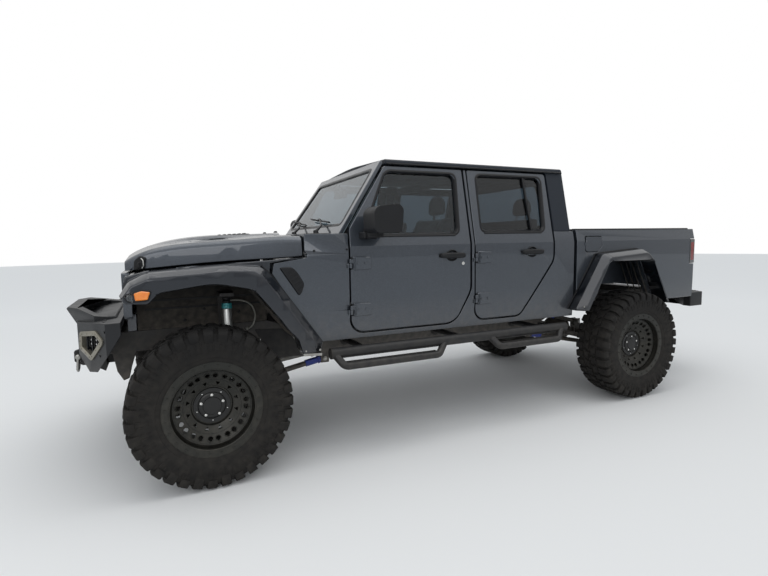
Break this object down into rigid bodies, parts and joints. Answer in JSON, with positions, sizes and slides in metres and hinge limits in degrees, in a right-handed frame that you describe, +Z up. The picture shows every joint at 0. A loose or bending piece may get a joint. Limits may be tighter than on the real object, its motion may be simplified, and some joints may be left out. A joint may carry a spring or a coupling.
{
  "type": "lifted off-road crew-cab 4x4 pickup",
  "caption": "Lifted four-door off-road pickup with short load bed, hardtop, plate bumpers, side steps and large mud tyres; wheels, steering, doors, hood and tailgate move.",
  "frame": {"origin": "on the ground under the middle of the vehicle's length and width", "axes": "+X forward, +Y to the vehicle's left, +Z up"},
  "size_m": [5.5118, 2.09, 1.9844],
  "materials": {
    "body_paint": "dark grey metallic",
    "black_plastic": "grained black",
    "hardtop_black": "textured black",
    "bumper_black": "powder coat",
    "chassis_black": "semi-gloss",
    "clear_glass": "polished",
    "lamp_lens": "polished",
    "tail_red": "polished",
    "tyre_rubber": "moulded",
    "wheel_finish": "satin dark bronze grey",
    "machined_steel": "machined",
    "engine_block": "cast",
    "gearbox_case": "cast",
    "exhaust_steel": "dull",
    "spring_paint": "satin",
    "damper_silver": "satin",
    "seat_cloth": "woven",
    "dash_plastic": "grained",
    "bar_cover": "padded"
  },
  "bodies": {
    "root": {"frame": "chassis_black", "cross_members": "chassis_black", "suspension_towers": "chassis_black", "body_mounts": "chassis_black", "steering_box": "chassis_black", "front_bumper": "bumper_black", "rear_bumper": "bumper_black", "front_axle": "chassis_black", "rear_axle": "chassis_black", "suspension_links": "chassis_black", "coil_springs": "spring_paint", "dampers": "damper_silver", "engine": "engine_block", "drivetrain": "gearbox_case", "exhaust": "exhaust_steel", "fuel_tank": "chassis_black", "side_steps": "bumper_black", "cab_tub": "body_paint", "windscreen_frame": "body_paint", "hardtop": "hardtop_black", "fixed_glass": "clear_glass", "grille": "body_paint", "front_lamps": "lamp_lens", "flares": "body_paint", "wheel_liners": "black_plastic", "load_bed": "body_paint", "tail_lamps": "tail_red", "seats": "seat_cloth", "dashboard": "dash_plastic", "sport_bar": "bar_cover"},
    "door_fl": {"door_fl": "body_paint", "door_fl_glass": "clear_glass", "mirror_fl": "black_plastic"},
    "door_fr": {"door_fr": "body_paint", "door_fr_glass": "clear_glass", "mirror_fr": "black_plastic"},
    "door_rl": {"door_rl": "body_paint", "door_rl_glass": "clear_glass"},
    "door_rr": {"door_rr": "body_paint", "door_rr_glass": "clear_glass"},
    "knuckle_fl": {"knuckle_fl": "machined_steel"},
    "knuckle_fr": {"knuckle_fr": "machined_steel"},
    "wheel_fl": {"tyre_fl": "tyre_rubber", "rim_fl": "wheel_finish"},
    "wheel_fr": {"tyre_fr": "tyre_rubber", "rim_fr": "wheel_finish"},
    "wheel_rl": {"tyre_rl": "tyre_rubber", "rim_rl": "wheel_finish"},
    "wheel_rr": {"tyre_rr": "tyre_rubber", "rim_rr": "wheel_finish"},
    "tie_rod": {"tie_rod": "machined_steel"},
    "drag_link": {"drag_link": "machined_steel"},
    "pitman_arm": {"pitman_arm": "machined_steel"},
    "steering_wheel": {"steering_wheel": "dash_plastic"},
    "hood": {"hood": "body_paint"},
    "tailgate": {"tailgate": "body_paint"},
    "fuel_door": {"fuel_door": "body_paint"}
  },
  "joints": [
    {"name": "open_door_fl", "type": "hinge", "parent": "root", "child": "door_fl", "pos_m": [1.0725, 0.818, 1.1], "axis": [0, 0, -1], "range_deg": [0, 68]},
    {"name": "open_door_fr", "type": "hinge", "parent": "root", "child": "door_fr", "pos_m": [1.0725, -0.818, 1.1], "axis": [0, 0, 1], "range_deg": [0, 68]},
    {"name": "open_door_rl", "type": "hinge", "parent": "root", "child": "door_rl", "pos_m": [0.0735, 0.818, 1.1], "axis": [0, 0, -1], "range_deg": [0, 68]},
    {"name": "open_door_rr", "type": "hinge", "parent": "root", "child": "door_rr", "pos_m": [0.0735, -0.818, 1.1], "axis": [0, 0, 1], "range_deg": [0, 68]},
    {"name": "steer_fl", "type": "hinge", "parent": "root", "child": "knuckle_fl", "pos_m": [1.9815, 0.715, 0.458], "axis": [0, 0, 1], "range_deg": [-30, 30]},
    {"name": "steer_fr", "type": "hinge", "parent": "root", "child": "knuckle_fr", "pos_m": [1.9815, -0.715, 0.458], "axis": [0, 0, 1], "range_deg": [-30, 30]},
    {"name": "spin_fl", "type": "hinge", "parent": "knuckle_fl", "child": "wheel_fl", "pos_m": [1.9815, 0.857, 0.458], "axis": [0, 1, 0], "continuous": true},
    {"name": "spin_fr", "type": "hinge", "parent": "knuckle_fr", "child": "wheel_fr", "pos_m": [1.9815, -0.857, 0.458], "axis": [0, 1, 0], "continuous": true},
    {"name": "spin_rl", "type": "hinge", "parent": "root", "child": "wheel_rl", "pos_m": [-1.5065, 0.857, 0.458], "axis": [0, 1, 0], "continuous": true},
    {"name": "spin_rr", "type": "hinge", "parent": "root", "child": "wheel_rr", "pos_m": [-1.5065, -0.857, 0.458], "axis": [0, 1, 0], "continuous": true},
    {"name": "tie_rod_pivot", "type": "hinge", "parent": "knuckle_fl", "child": "tie_rod", "pos_m": [2.1715, 0.715, 0.39], "axis": [0, 0, 1], "range_deg": [-31, 31]},
    {"name": "drag_link_pivot", "type": "hinge", "parent": "knuckle_fr", "child": "drag_link", "pos_m": [2.1715, -0.715, 0.47], "axis": [0, 0, 1], "range_deg": [-31, 31]},
    {"name": "pitman_turn", "type": "hinge", "parent": "root", "child": "pitman_arm", "pos_m": [2.0415, 0.345, 0.59], "axis": [0, 0, 1], "range_deg": [-31, 31]},
    {"name": "steering_wheel_turn", "type": "hinge", "parent": "root", "child": "steering_wheel", "pos_m": [0.7665, 0.385, 1.33], "axis": [-0.9063, 0, 0.4226], "range_deg": [-450, 450]},
    {"name": "open_hood", "type": "hinge", "parent": "root", "child": "hood", "pos_m": [1.3675, 0, 1.438], "axis": [0, -1, 0], "range_deg": [0, 60]},
    {"name": "open_tailgate", "type": "hinge", "parent": "root", "child": "tailgate", "pos_m": [-2.4465, 0, 0.99], "axis": [0, -1, 0], "range_deg": [0, 90]},
    {"name": "open_fuel_door", "type": "hinge", "parent": "root", "child": "fuel_door", "pos_m": [-1.0455, 0.803, 1.345], "axis": [0, 0, -1], "range_deg": [0, 85]}
  ],
  "couplings": [
    {"joint": "steer_fr", "follows": "steer_fl", "ratio": 1},
    {"joint": "tie_rod_pivot", "follows": "steer_fl", "ratio": -1},
    {"joint": "drag_link_pivot", "follows": "steer_fl", "ratio": -1},
    {"joint": "pitman_turn", "follows": "steer_fl", "ratio": 1},
    {"joint": "steering_wheel_turn", "follows": "steer_fl", "ratio": 15}
  ]
}
